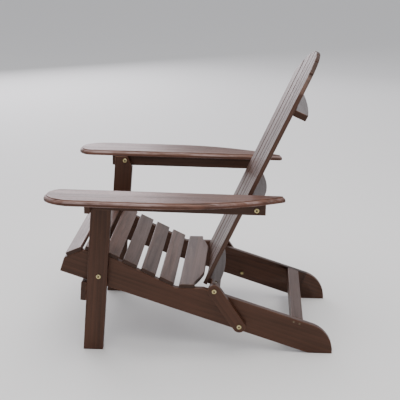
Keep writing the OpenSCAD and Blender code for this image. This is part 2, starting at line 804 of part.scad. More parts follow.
color(WOOD) left_link_solid();  // left_link
color(WOOD) mirror([1, 0, 0]) left_link_solid();  // right_link
color(WOOD) crosspiece(0);  // lower_crosspiece
color(WOOD) crosspiece(1);  // middle_crosspiece
color(WOOD) crosspiece(2);  // top_crosspiece
color(WOOD_PALE) back_slat(-3);  // back_slat_1
color(WOOD_PALE) back_slat(-2);  // back_slat_2
color(WOOD_PALE) back_slat(-1);  // back_slat_3
color(WOOD_PALE) back_slat(0);  // back_slat_4
color(WOOD_PALE) back_slat(1);  // back_slat_5
color(WOOD_PALE) back_slat(2);  // back_slat_6
color(WOOD_PALE) back_slat(3);  // back_slat_7
color(STEEL) for_back_screws() screw();  // back_screws
color(BRASS) both() in_back() bolt(lower_end - bolt_in, link_x1 + stop_gap);  // lower_back_bolts
color(BRASS) both() in_back() translate([0, 0, back_span])  // upper_back_bolts
        bolt(middle_end - bolt_in, support_x1 + stop_gap);
color(BRASS) both() in_back() for (k = [0, 1])  // barrel_nuts
    translate([cross_end[k] - barrel_at, 0, cross_u[k]]) difference() {
        cylinder(h = cross_t - barrel_short, r = barrel_r, center = true);
        bolt_hole(-barrel_r, barrel_r);
    }
color(STEEL) both() in_back() {  // back_washers
    washer(lower_end);
    translate([0, 0, back_span]) washer(middle_end);
}
color(WOOD) left_arm_solid();  // left_arm
color(WOOD) left_support_solid();  // left_arm_support
color(WOOD) left_block_solid();  // left_arm_block
color(STEEL) for_arm_screws() screw();  // left_arm_screws
color(BRASS) left_arm_nut_solid();  // left_arm_nut
color(WOOD) mirror([1, 0, 0]) left_arm_solid();  // right_arm
color(WOOD) mirror([1, 0, 0]) left_support_solid();  // right_arm_support
color(WOOD) mirror([1, 0, 0]) left_block_solid();  // right_arm_block
color(STEEL) mirror([1, 0, 0]) for_arm_screws() screw();  // right_arm_screws
color(BRASS) mirror([1, 0, 0]) left_arm_nut_solid();  // right_arm_nut
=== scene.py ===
"""Looks of a folding Adirondack garden chair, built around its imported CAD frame.

Every wooden board is rebuilt from its CAD solid with eased edges and its own run of
grain, the arms get their moulded edge, and the metal fasteners keep their CAD shapes.
"""

import json
import logging
import math
import random
from dataclasses import dataclass
from enum import Enum
from typing import Iterable

import bmesh
import bpy
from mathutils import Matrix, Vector


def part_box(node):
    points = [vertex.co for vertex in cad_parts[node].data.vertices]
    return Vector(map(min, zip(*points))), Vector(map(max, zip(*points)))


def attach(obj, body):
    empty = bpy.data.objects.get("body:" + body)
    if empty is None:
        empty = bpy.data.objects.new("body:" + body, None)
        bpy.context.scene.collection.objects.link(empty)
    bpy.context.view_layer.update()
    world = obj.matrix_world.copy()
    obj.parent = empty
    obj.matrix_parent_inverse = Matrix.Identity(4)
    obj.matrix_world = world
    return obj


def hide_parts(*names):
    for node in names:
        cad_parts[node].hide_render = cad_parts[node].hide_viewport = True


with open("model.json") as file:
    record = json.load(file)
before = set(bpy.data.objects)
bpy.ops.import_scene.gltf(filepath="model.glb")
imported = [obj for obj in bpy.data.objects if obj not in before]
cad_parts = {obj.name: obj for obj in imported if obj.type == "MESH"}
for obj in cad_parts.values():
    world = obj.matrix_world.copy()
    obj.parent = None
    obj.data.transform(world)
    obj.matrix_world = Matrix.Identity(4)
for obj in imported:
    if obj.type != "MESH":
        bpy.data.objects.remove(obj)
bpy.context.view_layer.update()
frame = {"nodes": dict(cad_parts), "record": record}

LOG = logging.getLogger("adirondack_chair")

MM = 0.001
ACROSS = Vector((1.0, 0.0, 0.0))
REARWARD = Vector((0.0, 1.0, 0.0))

Triple = tuple[float, float, float]
Colour = Triple


class Wear(Enum):
    """How far the stain is rubbed through along a board's edges, from 0 to 1; on the arms it
    also sets how strongly a painted highlight shows.
    """

    FRESH = 0.35
    HANDLED = 0.7
    RUBBED = 1.0


class EdgeShape(Enum):
    """How a board's edges are eased: the rounding's radius in metres and its steps."""

    SLAT = (2.6 * MM, 3)
    FRAME = (2.0 * MM, 3)


# ---------------------------------------------------------------- materials


class Shader:
    """A small builder for one material's node tree."""

    def __init__(self, name: str) -> None:
        """Makes the material with one Principled shader.

        Args:
            name: The material's name.
        """
        self.material: bpy.types.Material = bpy.data.materials.new(name)
        self.material.use_nodes = True
        self.tree: bpy.types.NodeTree = self.material.node_tree
        self.surface: bpy.types.Node = self.tree.nodes["Principled BSDF"]

    def node(self, kind: str, **settings: object) -> bpy.types.Node:
        """Adds a node and sets its properties.

        Args:
            kind: The node's Blender type, without the ShaderNode prefix.
            settings: Values for the node's own properties.

        Returns:
            The new node.
        """
        made = self.tree.nodes.new("ShaderNode" + kind)
        for key, value in settings.items():
            setattr(made, key, value)
        return made

    def join(self, source: bpy.types.NodeSocket, target: bpy.types.NodeSocket) -> None:
        """Links an output socket to an input socket."""
        self.tree.links.new(source, target)

    def give(self, name: str, value: object) -> None:
        """Sets one of the shader's own sockets to a constant."""
        self.surface.inputs[name].default_value = value

    def feed(self, socket: bpy.types.NodeSocket, value: object) -> None:
        """Sets a socket, or links it when the value is another socket.

        Args:
            socket: The input to set.
            value: A number, a colour, or an output socket.
        """
        if isinstance(value, bpy.types.NodeSocket):
            self.join(value, socket)
        elif isinstance(value, tuple) and len(value) == 3 and socket.type == "RGBA":
            socket.default_value = (*value, 1.0)
        else:
            socket.default_value = value

    def attribute(self, name: str, output: str) -> bpy.types.NodeSocket:
        """Reads a mesh attribute.

        Args:
            name: The attribute's name.
            output: Which of the node's outputs to use, such as "Fac" or "Vector".

        Returns:
            The output socket.
        """
        return self.node("Attribute", attribute_name=name).outputs[output]

    def stretch(self, vector: bpy.types.NodeSocket, scale: Triple) -> bpy.types.NodeSocket:
        """Scales a vector by a fixed amount on each axis.

        Args:
            vector: The vector to scale.
            scale: The factor on each axis.

        Returns:
            The scaled vector's socket.
        """
        made = self.node("VectorMath", operation="MULTIPLY")
        self.join(vector, made.inputs[0])
        made.inputs[1].default_value = scale
        return made.outputs[0]

    def noise(
        self, vector: bpy.types.NodeSocket, scale: float, detail: float = 4.0,
        rough: float = 0.55, warp: float = 0.0,
    ) -> bpy.types.NodeSocket:
        """Adds a noise texture.

        Args:
            vector: The coordinates it follows.
            scale: How many features fall in one unit.
            detail: The number of octaves.
            rough: How strongly the small octaves count.
            warp: How far the noise is distorted.

        Returns:
            The value's socket.
        """
        made = self.node("TexNoise")
        self.join(vector, made.inputs["Vector"])
        made.inputs["Scale"].default_value = scale
        made.inputs["Detail"].default_value = detail
        made.inputs["Roughness"].default_value = rough
        made.inputs["Distortion"].default_value = warp
        return made.outputs["Fac"]

    def span(
        self, value: bpy.types.NodeSocket, low: float, high: float,
        to_low: float = 0.0, to_high: float = 1.0,
    ) -> bpy.types.NodeSocket:
        """Maps a range of values smoothly to another.

        Args:
            value: The value to map.
            low: The value that becomes to_low.
            high: The value that becomes to_high.
            to_low: The result at and below low.
            to_high: The result at and above high.

        Returns:
            The mapped value's socket.
        """
        made = self.node("MapRange", interpolation_type="SMOOTHSTEP")
        self.join(value, made.inputs["Value"])
        made.inputs["From Min"].default_value = low
        made.inputs["From Max"].default_value = high
        made.inputs["To Min"].default_value = to_low
        made.inputs["To Max"].default_value = to_high
        return made.outputs["Result"]

    def math(self, operation: str, first: object, second: object) -> bpy.types.NodeSocket:
        """Combines two values.

        Args:
            operation: Blender's name for the operation, such as "MULTIPLY".
            first: The first number or socket.
            second: The second number or socket.

        Returns:
            The result's socket.
        """
        made = self.node("Math", operation=operation)
        self.feed(made.inputs[0], first)
        self.feed(made.inputs[1], second)
        return made.outputs[0]

    def mix(self, amount: object, first: object, second: object) -> bpy.types.NodeSocket:
        """Mixes two colours.

        Args:
            amount: How much of the second colour shows.
            first: The first colour or socket.
            second: The second colour or socket.

        Returns:
            The mixed colour's socket.
        """
        made = self.node("Mix", data_type="RGBA")
        self.feed(made.inputs["Factor"], amount)
        self.feed(made.inputs[6], first)
        self.feed(made.inputs[7], second)
        return made.outputs[2]

    def bump(
        self, height: bpy.types.NodeSocket, depth: float,
        under: bpy.types.NodeSocket | None = None,
    ) -> bpy.types.NodeSocket:
        """Adds a bump from a height.

        Args:
            height: The height's socket.
            depth: The height of one unit, in metres.
            under: The normal socket of the bump below this one, if there is one.

        Returns:
            The normal's socket.
        """
        made = self.node("Bump")
        made.inputs["Distance"].default_value = depth
        self.join(height, made.inputs["Height"])
        if under is not None:
            self.join(under, made.inputs["Normal"])
        return made.outputs["Normal"]


@dataclass(frozen=True)
class Grain:
    """The scale of the wood's grain: repeats per metre along, across and through a board.

    Args:
        rings: The growth rings' repeats.
        ring_scale: How tightly the rings follow each other.
        ring_warp: How far the rings wander.
        ring_share: How much the rings count in the bands.
        figure: The repeats of the broad figure.
        figure_share: How much the figure counts in the bands.
        fibres: The repeats of the fine fibres.
        pores: The repeats of the pores.
        rubbing: The repeats of the rubbed patches.
        blotch: Blotches of stain per metre.
        band_relief: The depth of the bands, in metres.
        fibre_relief: The depth of the fibres, in metres.
        pore_relief: The depth of the pores, in metres.
    """

    rings: Triple = (0.9, 13.0, 13.0)
    ring_scale: float = 1.7
    ring_warp: float = 4.5
    ring_share: float = 0.22
    figure: Triple = (2.2, 34.0, 34.0)
    figure_share: float = 0.85
    fibres: Triple = (14.0, 420.0, 420.0)
    pores: Triple = (70.0, 1500.0, 1500.0)
    rubbing: Triple = (9.0, 60.0, 60.0)
    blotch: float = 7.0
    band_relief: float = 0.22 * MM
    fibre_relief: float = 0.16 * MM
    pore_relief: float = 0.12 * MM


@dataclass(frozen=True)
class StainedWood:
    """Hardwood under a dark stain and a satin outdoor oil.

    Args:
        name: The material's name.
        stain: The stain's colour on the plain face.
        deep: Its colour in the dark bands of the grain.
        warm: Its colour in the pale bands of the grain.
        wear_and_sheen: The colour where the stain is rubbed thin; on the arms it is pale and
            lilac, partly wear and partly a painted highlight.
        end: The colour of end grain, which drinks more stain.
        gloss: The roughness of the oiled face.
        wear: How far the edges are rubbed, and on the arms how strongly the painted highlight
            shows.
        grain: The scale of the grain.
        oil_index: The oil film's refractive index.
        oil_tint: The tint that the stained oil gives to reflections.
        coat: How much of the clear top coat is left.
        coat_rough: That coat's roughness.
    """

    name: str
    stain: Colour
    deep: Colour
    warm: Colour
    wear_and_sheen: Colour
    end: Colour
    gloss: float
    wear: Wear
    grain: Grain = Grain()
    oil_index: float = 1.42
    oil_tint: Colour = (1.0, 0.74, 0.62)
    coat: float = 0.10
    coat_rough: float = 0.30

    def bands(
        self, s: Shader, run: bpy.types.NodeSocket, figure: bpy.types.NodeSocket,
    ) -> bpy.types.NodeSocket:
        """The dark and pale bands, from growth rings and the broad figure.

        Args:
            s: The material's shader.
            run: The place along, across and through the board.
            figure: The broad figure.

        Returns:
            The bands' socket, high where the grain is dark.
        """
        rings = s.node("TexWave", wave_type="RINGS", rings_direction="X", wave_profile="SAW")
        s.join(s.stretch(run, self.grain.rings), rings.inputs["Vector"])
        rings.inputs["Scale"].default_value = self.grain.ring_scale
        rings.inputs["Distortion"].default_value = self.grain.ring_warp
        rings.inputs["Detail"].default_value = 3.0
        rings.inputs["Detail Scale"].default_value = 1.4
        ringed = s.math("MULTIPLY", rings.outputs["Fac"], self.grain.ring_share)
        return s.math("ADD", ringed, s.math("MULTIPLY", figure, self.grain.figure_share))

    def stained(
        self, s: Shader, run: bpy.types.NodeSocket, bands: bpy.types.NodeSocket,
        fibres: bpy.types.NodeSocket, pores: bpy.types.NodeSocket,
    ) -> bpy.types.NodeSocket:
        """The stain's colour over the grain, with each board a little lighter or darker.

        Args:
            s: The material's shader.
            run: The place along, across and through the board.
            bands: The dark and pale bands.
            fibres: The fine fibres.
            pores: The pores.

        Returns:
            The colour's socket.
        """
        blotch = s.noise(run, self.grain.blotch, 3.0, 0.5, 0.4)
        colour = s.mix(s.span(bands, 0.34, 0.78), self.warm, self.deep)
        colour = s.mix(s.span(fibres, 0.42, 0.72, 0.0, 0.55), colour, self.stain)
        colour = s.mix(s.span(pores, 0.60, 0.72, 0.0, 0.55), colour, self.deep)
        colour = s.mix(s.span(blotch, 0.46, 0.74, 0.0, 0.45), colour, self.warm)
        shade = s.node("HueSaturation")
        s.join(colour, shade.inputs["Color"])
        tone = s.attribute("board_tone", "Fac")
        s.join(s.span(tone, 0.0, 1.0, 0.78, 1.24), shade.inputs["Value"])
        return shade.outputs["Color"]

    def rubbed(
        self, s: Shader, run: bpy.types.NodeSocket, colour: bpy.types.NodeSocket,
    ) -> bpy.types.NodeSocket:
        """Thins the stain in patches along the eased edges, and on the arms lays a painted
        highlight there too.

        Args:
            s: The material's shader.
            run: The place along, across and through the board.
            colour: The colour before the wear.

        Returns:
            The colour's socket, with the wear and the arms' painted highlight laid on.
        """
        # On the arms the pale colour laid here is partly a painted highlight, not only wear.
        rub = s.noise(s.stretch(run, self.grain.rubbing), 1.0, 4.0, 0.6)
        rub = s.math("MULTIPLY", s.span(rub, 0.40, 0.66), self.wear.value)
        rub = s.math("MULTIPLY", rub, s.attribute("eased_edge", "Fac"))
        return s.mix(rub, colour, self.wear_and_sheen)

    def make(self) -> bpy.types.Material:
        """Builds the material.

        Returns:
            The finished material.
        """
        s = Shader(self.name)
        run = s.attribute("grain_run", "Vector")
        end = s.attribute("end_grain", "Fac")
        figure = s.noise(s.stretch(run, self.grain.figure), 1.0, 6.0, 0.6, 1.1)
        fibres = s.noise(s.stretch(run, self.grain.fibres), 1.0, 5.0, 0.65)
        pores = s.noise(s.stretch(run, self.grain.pores), 1.0, 2.0, 0.5)
        bands = self.bands(s, run, figure)

        colour = self.stained(s, run, bands, fibres, pores)
        colour = s.mix(s.math("MULTIPLY", end, 0.85), colour, self.end)
        s.join(self.rubbed(s, run, colour), s.surface.inputs["Base Color"])

        rough = s.span(figure, 0.3, 0.7, self.gloss - 0.05, self.gloss + 0.07)
        rough = s.math("ADD", rough, s.span(pores, 0.58, 0.74, 0.0, 0.16))
        rough = s.math("ADD", rough, s.math("MULTIPLY", end, 0.2))
        s.join(rough, s.surface.inputs["Roughness"])
        s.give("IOR", self.oil_index)
        s.give("Specular Tint", (*self.oil_tint, 1.0))
        s.give("Coat Weight", self.coat)
        s.give("Coat Roughness", self.coat_rough)

        normal = s.bump(bands, self.grain.band_relief)
        normal = s.bump(fibres, self.grain.fibre_relief, normal)
        pits = s.span(pores, 0.58, 0.74, 1.0, 0.0)
        s.join(s.bump(pits, self.grain.pore_relief, normal), s.surface.inputs["Normal"])
        return s.material


@dataclass(frozen=True)
class PlatedSteel:
    """Steel with a thin plated coat, a little uneven and gone dull outdoors.

    Args:
        name: The material's name.
        plate: The plating's colour.
        tint: The colour that the plating drifts to.
        tarnish: The colour of the dull patches.
        socket_shade: The dark colour painted into a bolt's hex socket as shade.
        gloss: The roughness of the clean plating.
        turned: Turning marks per metre along and across a bolt's axis.
        mark_relief: The depth of the turning marks, in metres.
        spot_relief: The depth of the dull spots, in metres.
    """

    name: str
    plate: Colour
    tint: Colour
    tarnish: Colour
    socket_shade: Colour
    gloss: float
    turned: Triple = (2600.0, 260.0, 260.0)
    mark_relief: float = 0.03 * MM
    spot_relief: float = 0.05 * MM

    def make(self) -> bpy.types.Material:
        """Builds the material.

        Returns:
            The finished material.
        """
        s = Shader(self.name)
        place = s.node("TexCoord").outputs["Object"]
        drift = s.noise(place, 140.0, 3.0, 0.5, 0.6)
        dull = s.noise(place, 420.0, 5.0, 0.65)
        turned = s.noise(s.stretch(place, self.turned), 1.0, 2.0)
        colour = s.mix(s.span(drift, 0.38, 0.62), self.plate, self.tint)
        colour = s.mix(s.span(dull, 0.52, 0.70, 0.0, 0.7), colour, self.tarnish)
        # Painted shade: faces inside a bolt's hex socket are darkened as if shaded in the
        # recess.
        colour = s.mix(s.attribute("socket_recess", "Fac"), colour, self.socket_shade)
        s.join(colour, s.surface.inputs["Base Color"])
        s.give("Metallic", 1.0)
        rough = s.span(dull, 0.4, 0.72, self.gloss, self.gloss + 0.28)
        s.join(rough, s.surface.inputs["Roughness"])
        marks = s.bump(turned, self.mark_relief)
        s.join(s.bump(dull, self.spot_relief, marks), s.surface.inputs["Normal"])
        return s.material


FRAME_WOOD = StainedWood(
    name="frame_wood_stain", stain=(0.034, 0.0134, 0.0074), deep=(0.022, 0.0088, 0.0050),
    warm=(0.049, 0.0188, 0.0102), wear_and_sheen=(0.120, 0.050, 0.028), end=(0.031, 0.0125, 0.0072),
    gloss=0.42, wear=Wear.HANDLED,
)
SLAT_WOOD = StainedWood(
    name="slat_wood_stain", stain=(0.047, 0.0232, 0.0162), deep=(0.027, 0.0132, 0.0092),
    warm=(0.072, 0.0350, 0.0245), wear_and_sheen=(0.072, 0.040, 0.032), end=(0.026, 0.0130, 0.0092),
    gloss=0.40, wear=Wear.FRESH,
)
# The arms' pale, lilac edge colour is partly rubbed wear and partly a painted highlight of the
# sky on the moulded edge.
ARM_WOOD = StainedWood(
    name="arm_wood_stain", stain=(0.060, 0.0275, 0.0195), deep=(0.033, 0.0150, 0.0105),
    warm=(0.098, 0.0430, 0.0290), wear_and_sheen=(0.240, 0.168, 0.158), end=(0.038, 0.0170, 0.0115),
    gloss=0.38, wear=Wear.RUBBED,
)
YELLOW_ZINC = PlatedSteel(
    name="yellow_zinc_plate", plate=(0.52, 0.43, 0.19), tint=(0.56, 0.50, 0.30),
    tarnish=(0.22, 0.16, 0.07), socket_shade=(0.045, 0.032, 0.018), gloss=0.28,
)
# Painted shade: a darker copy of the yellow plating for the nuts, which sit in shade; only its
# higher roughness is the metal's own dullness.
SHADED_ZINC = PlatedSteel(
    name="shaded_zinc_plate", plate=(0.20, 0.16, 0.08), tint=(0.24, 0.20, 0.12),
    tarnish=(0.09, 0.065, 0.03), socket_shade=(0.045, 0.032, 0.018), gloss=0.45,
)
BRONZED_STEEL = PlatedSteel(
    name="bronzed_screw_steel", plate=(0.13, 0.095, 0.062), tint=(0.16, 0.125, 0.085),
    tarnish=(0.06, 0.042, 0.028), socket_shade=(0.02, 0.014, 0.010), gloss=0.42,
)


# ---------------------------------------------------------------- boards


@dataclass
class Board:
    """One wooden board, rebuilt from its CAD solid with eased edges and its own grain.

    Args:
        node: The CAD node that the board stands for.
        body: The body that it rides on.
        slot: The record's material slot; not used.
        material: The wood that it is made of.
        edges: How its edges are eased.
        weld: The distance at which the solid's points are joined.
        flat_turn: The largest angle between faces that are made one flat face.
        sharp_turn: The smallest angle at an edge that is eased.
        hard_turn: The smallest angle at an edge that stays crisp in the shading.
        rim_size: The size up to which a ring of edges is a hole's rim, and isn't eased.
        end_facing: How squarely a face looks along the grain where it is end grain.
        grain_start: The ranges that the board's place in its log is drawn from, in metres
            along, across and through the board.
    """

    node: str
    body: str
    slot: str
    material: bpy.types.Material
    edges: EdgeShape
    weld: float = 0.02 * MM
    flat_turn: float = math.radians(0.4)
    sharp_turn: float = math.radians(28.0)
    hard_turn: float = math.radians(40.0)
    rim_size: float = 30.0 * MM
    end_facing: float = 0.75
    grain_start: tuple[tuple[float, float], ...] = ((-9.0, 9.0), (-0.05, 0.05), (0.02, 0.09))

    def solid(self) -> bmesh.types.BMesh:
        """The CAD solid, welded and with its flat faces whole again.

        Returns:
            A new bmesh, which the caller frees.
        """
        bm = bmesh.new()
        bm.from_mesh(frame["nodes"][self.node].data)
        bmesh.ops.remove_doubles(bm, verts=bm.verts[:], dist=self.weld)
        bmesh.ops.dissolve_limit(
            bm, angle_limit=self.flat_turn, use_dissolve_boundaries=False,
            verts=bm.verts[:], edges=bm.edges[:],
        )
        bm.normal_update()
        return bm

    def turns_by(self, edge: bmesh.types.BMEdge, least: float) -> bool:
        """Whether the faces beside an edge meet at more than the given angle."""
        return len(edge.link_faces) == 2 and edge.calc_face_angle(0.0) > least

    def outer_edges(self, bm: bmesh.types.BMesh) -> list[bmesh.types.BMEdge]:
        """The board's own edges, without the rims and steps of its holes.

        Args:
            bm: The board's solid.

        Returns:
            The edges to ease.
        """
        sharp = [e for e in bm.edges if self.turns_by(e, self.sharp_turn)]
        marked = set(sharp)
        kept: list[bmesh.types.BMEdge] = []
        seen: set[bmesh.types.BMEdge] = set()
        for start in sharp:
            if start in seen:
                continue
            group: list[bmesh.types.BMEdge] = []
            waiting = [start]
            seen.add(start)
            while waiting:
                edge = waiting.pop()
                group.append(edge)
                for vert in edge.verts:
                    for other in vert.link_edges:
                        if other in marked and other not in seen:
                            seen.add(other)
                            waiting.append(other)
            points = [v.co for e in group for v in e.verts]
            size = max(max(p[k] for p in points) - min(p[k] for p in points) for k in range(3))
            if size > self.rim_size:
                kept.extend(group)
        return kept

    def ease(self, bm: bmesh.types.BMesh) -> set[int]:
        """Rounds the board's edges.

        Args:
            bm: The board's solid.

        Returns:
            The indices of the faces that the rounding made.
        """
        radius, steps = self.edges.value
        made = bmesh.ops.bevel(
            bm, geom=self.outer_edges(bm), offset=radius, offset_type="OFFSET",
            segments=steps, profile=0.5, affect="EDGES", clamp_overlap=False,
        )
        bm.faces.index_update()
        return {f.index for f in made["faces"]}

    def run_of_grain(self, bm: bmesh.types.BMesh) -> Vector:
        """The direction that the grain runs in: along the board's longest straight edge.

        Args:
            bm: The board's solid.

        Returns:
            A unit vector in the row frame.
        """
        low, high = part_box(self.node)
        spread = Vector(high) - Vector(low)
        if spread.x > max(spread.y, spread.z):
            return ACROSS.copy()
        longest = max(bm.edges, key=lambda e: e.calc_length())
        way = (longest.verts[1].co - longest.verts[0].co).normalized()
        return way if way.z + way.y > 0 else -way

    def lay_grain(self, bm: bmesh.types.BMesh, eased: set[int], way: Vector) -> None:
        """Writes each point's place in the grain, and each face's wear and end grain; on the
        arms the wear mask also carries a painted highlight.

        Args:
            bm: The board's finished mesh.
            eased: The indices of the faces along its eased edges.
            way: The direction that the grain runs in.
        """
        draw = random.Random(self.node)
        side = ACROSS if abs(way.dot(ACROSS)) < 0.9 else REARWARD
        across = (side - way * side.dot(way)).normalized()
        through = way.cross(across)
        start = Vector([draw.uniform(low, high) for low, high in self.grain_start])
        middle = sum((v.co for v in bm.verts), Vector()) / len(bm.verts)
        tone_value = draw.random()
        run = bm.verts.layers.float_vector.new("grain_run")
        tone = bm.verts.layers.float.new("board_tone")
        # This mask also lays the arms' painted highlight along their moulded edge.
        wear_and_sheen = bm.faces.layers.float.new("eased_edge")
        end = bm.faces.layers.float.new("end_grain")
        for vert in bm.verts:
            place = vert.co - middle
            vert[run] = start + Vector((place.dot(way), place.dot(across), place.dot(through)))
            vert[tone] = tone_value
        for face in bm.faces:
            face[wear_and_sheen] = 1.0 if face.index in eased else 0.0
            face[end] = 1.0 if abs(face.normal.dot(way)) > self.end_facing else 0.0

    def finish(self, bm: bmesh.types.BMesh, eased: set[int], way: Vector) -> bpy.types.Object:
        """Writes the grain onto the mesh and makes the object.

        Args:
            bm: The board's finished mesh, which is freed.
            eased: The indices of the faces along its eased edges.
            way: The direction that the grain runs in.

        Returns:
            The new object, dressed and riding on its body.
        """
        self.lay_grain(bm, eased, way)
        for face in bm.faces:
            face.smooth = True
        for edge in bm.edges:
            edge.smooth = not self.turns_by(edge, self.hard_turn)
        mesh = bpy.data.meshes.new(self.node + "_board")
        bm.to_mesh(mesh)
        bm.free()
        mesh.materials.append(self.material)
        piece = bpy.data.objects.new(self.node + "_board", mesh)
        bpy.context.scene.collection.objects.link(piece)
        even = piece.modifiers.new("flat_faces", "WEIGHTED_NORMAL")
        even.keep_sharp = True
        even.weight = 80
        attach(piece, self.body)
        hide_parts(self.node)
        LOG.info("board %s: %d faces", piece.name, len(mesh.polygons))
        return piece

    def make(self) -> bpy.types.Object:
        """Builds the board.

        Returns:
            The new object.
        """
        bm = self.solid()
        way = self.run_of_grain(bm)
        eased = self.ease(bm)
        return self.finish(bm, eased, way)


@dataclass
class ArmBoard(Board):
    """An arm, with a moulded edge: a fine step round the top and a full rounding below it.

    Args:
        mould_width: The moulding's width.
        profile: How far in from the outline each line of the moulding lies, as a share of
            its width, and how high, as a share of the arm's thickness.
        flat_facing: How squarely a face looks down where it belongs to the underside.
        sharpest: The cosine of half the sharpest corner's turn that the moulding follows.
        wear_sheen_facing: How squarely a moulded face looks up or down where it takes the paler
            edge colour, part rubbed wear and part painted highlight.
    """

    mould_width: float = 11.0 * MM
    profile: tuple[tuple[float, float], ...] = (
        (0.14, 0.00), (0.04, 0.03), (0.00, 0.10), (0.00, 0.22), (0.02, 0.34),
        (0.08, 0.46), (0.18, 0.57), (0.31, 0.67), (0.46, 0.75), (0.60, 0.795),
        (0.68, 0.81), (0.71, 0.835), (0.73, 0.88), (0.76, 0.94), (0.82, 0.98), (0.92, 1.00),
    )
    flat_facing: float = 0.999
    sharpest: float = 0.6
    wear_sheen_facing: float = 0.3

    def outline(self, bm: bmesh.types.BMesh, down: Vector) -> list[Vector]:
        """The arm's outline, round the edge of its underside.

        Args:
            bm: The CAD solid.
            down: The direction that the underside faces.

        Returns:
            The outline's points in order.
        """
        bottom = {f for f in bm.faces if f.normal.dot(down) > self.flat_facing}
        lowest = max(f.calc_center_median().dot(down) for f in bottom)
        bottom = {f for f in bottom if f.calc_center_median().dot(down) > lowest - MM}
        rim = [e for e in bm.edges if sum(f in bottom for f in e.link_faces) == 1]
        left = set(rim)
        loops: list[list[Vector]] = []
        for first in rim:
            if first not in left:
                continue
            left.discard(first)
            begin, here = first.verts
            loop = [begin.co.copy(), here.co.copy()]
            while here is not begin:
                step = next(e for e in here.link_edges if e in left)
                left.discard(step)
                here = step.other_vert(here)
                loop.append(here.co.copy())
            loops.append(loop[:-1])
        return max(loops, key=lambda pts: max(p.y for p in pts) - min(p.y for p in pts))

    def square_to(self, step: Vector, way: Vector) -> Vector:
        """A step in the arm's plane, turned by a right angle."""
        return way * step.dot(ACROSS) - ACROSS * step.dot(way)

    def inward(self, points: list[Vector], way: Vector) -> list[Vector]:
        """Where each point of the outline goes as the outline is drawn in by one.

        Args:
            points: The outline's points in order.
            way: The direction along the arm.

        Returns:
            A step for each point.
        """
        following = points[1:] + points[:1]
        area = sum(
            a.dot(ACROSS) * b.dot(way) - b.dot(ACROSS) * a.dot(way)
            for a, b in zip(points, following)
        )
        side = 1.0 if area > 0 else -1.0
        after = [(b - a).normalized() for a, b in zip(points, following)]
        steps: list[Vector] = []
        for come, go in zip(after[-1:] + after[:-1], after):
            normal = self.square_to(come + go, way).normalized()
            cosine = max(self.sharpest, normal.dot(self.square_to(go, way)))
            steps.append(normal / cosine * side)
        return steps

    def make(self) -> bpy.types.Object:
        """Builds the arm by stacking drawn-in copies of its outline.

        Returns:
            The new object.
        """
        cad = self.solid()
        way = self.run_of_grain(cad)
        up = way.cross(ACROSS)
        up = up if up.z > 0 else -up
        points = self.outline(cad, -up)
        low = min(p.dot(up) for p in points)
        thick = max(v.co.dot(up) for v in cad.verts) - low
        cad.free()

        steps = self.inward(points, way)
        bm = bmesh.new()
        rings = [
            [
                bm.verts.new(p + step * self.mould_width * share + up * thick * height)
                for p, step in zip(points, steps)
            ]
            for share, height in self.profile
        ]
        moulded: list[bmesh.types.BMFace] = []
        for lower, upper in zip(rings, rings[1:]):
            for i in range(len(points)):
                j = (i + 1) % len(points)
                moulded.append(bm.faces.new((lower[i], lower[j], upper[j], upper[i])))
        bm.faces.new(rings[0])
        bm.faces.new(rings[-1])
        bmesh.ops.recalc_face_normals(bm, faces=bm.faces[:])
        bm.faces.index_update()
        # The moulded faces that look up or down get the paler edge colour: part rubbed wear,
        # part painted highlight.
        wear_and_sheen = {f.index for f in moulded if abs(f.normal.dot(up)) > self.wear_sheen_facing}
        return self.finish(bm, wear_and_sheen, way)


# ---------------------------------------------------------------- sub-assemblies


@dataclass
class SubAssembly:
    """A group of boards and fasteners that ride on the frame's bodies.

    Args:
        woods: The made wood materials by the record's slot name, with "arm" for the arms.
    """

    woods: dict[str, bpy.types.Material]

    def board(self, node: str, body: str, slot: str, edges: EdgeShape) -> bpy.types.Object:
        """Builds one board.

        Args:
            node: The CAD node that it stands for.
            body: The body that it rides on.
            slot: The record's material slot.
            edges: How its edges are eased.

        Returns:
            The new object.
        """
        return Board(node, body, slot, self.woods[slot], edges).make()

    def boards(self, nodes: Iterable[str], body: str, slot: str, edges: EdgeShape) -> None:
        """Builds several boards of one kind.

        Args:
            nodes: The CAD nodes that they stand for.
            body: The body that they ride on.
            slot: The record's material slot.
            edges: How their edges are eased.
        """
        for node in nodes:
            self.board(node, body, slot, edges)


@dataclass
class Seat(SubAssembly):
    """The side rails, the seat slats and the bar behind them.

    Args:
        body: The body that they ride on.
        slat_count: The number of seat slats.
    """

    body: str = "seat_frame"
    slat_count: int = 7

    def build(self) -> None:
        """Builds every board of the seat."""
        rails = ("left_side_rail", "right_side_rail", "rear_crossbar")
        self.boards(rails, self.body, "frame_wood", EdgeShape.FRAME)
        slats = (f"seat_slat_{i + 1}" for i in range(self.slat_count))
        self.boards(slats, self.body, "slat_wood", EdgeShape.SLAT)


@dataclass
class FrontLegs(SubAssembly):
    """The two front legs and the stretcher that joins them.

    Args:
        body: The body that they ride on.
    """

    body: str = "front_legs"

    def build(self) -> None:
        """Builds the legs and the stretcher."""
        nodes = ("left_front_leg", "right_front_leg", "front_stretcher")
        self.boards(nodes, self.body, "frame_wood", EdgeShape.FRAME)


@dataclass
class Links(SubAssembly):
    """The two links that carry the backrest as it folds.

    Args:
        sides: The sides of the chair.
    """

    sides: tuple[str, ...] = ("left", "right")

    def build(self) -> None:
        """Builds the links, each on its own body."""
        for side in self.sides:
            self.board(f"{side}_link", f"{side}_link_body", "frame_wood", EdgeShape.FRAME)


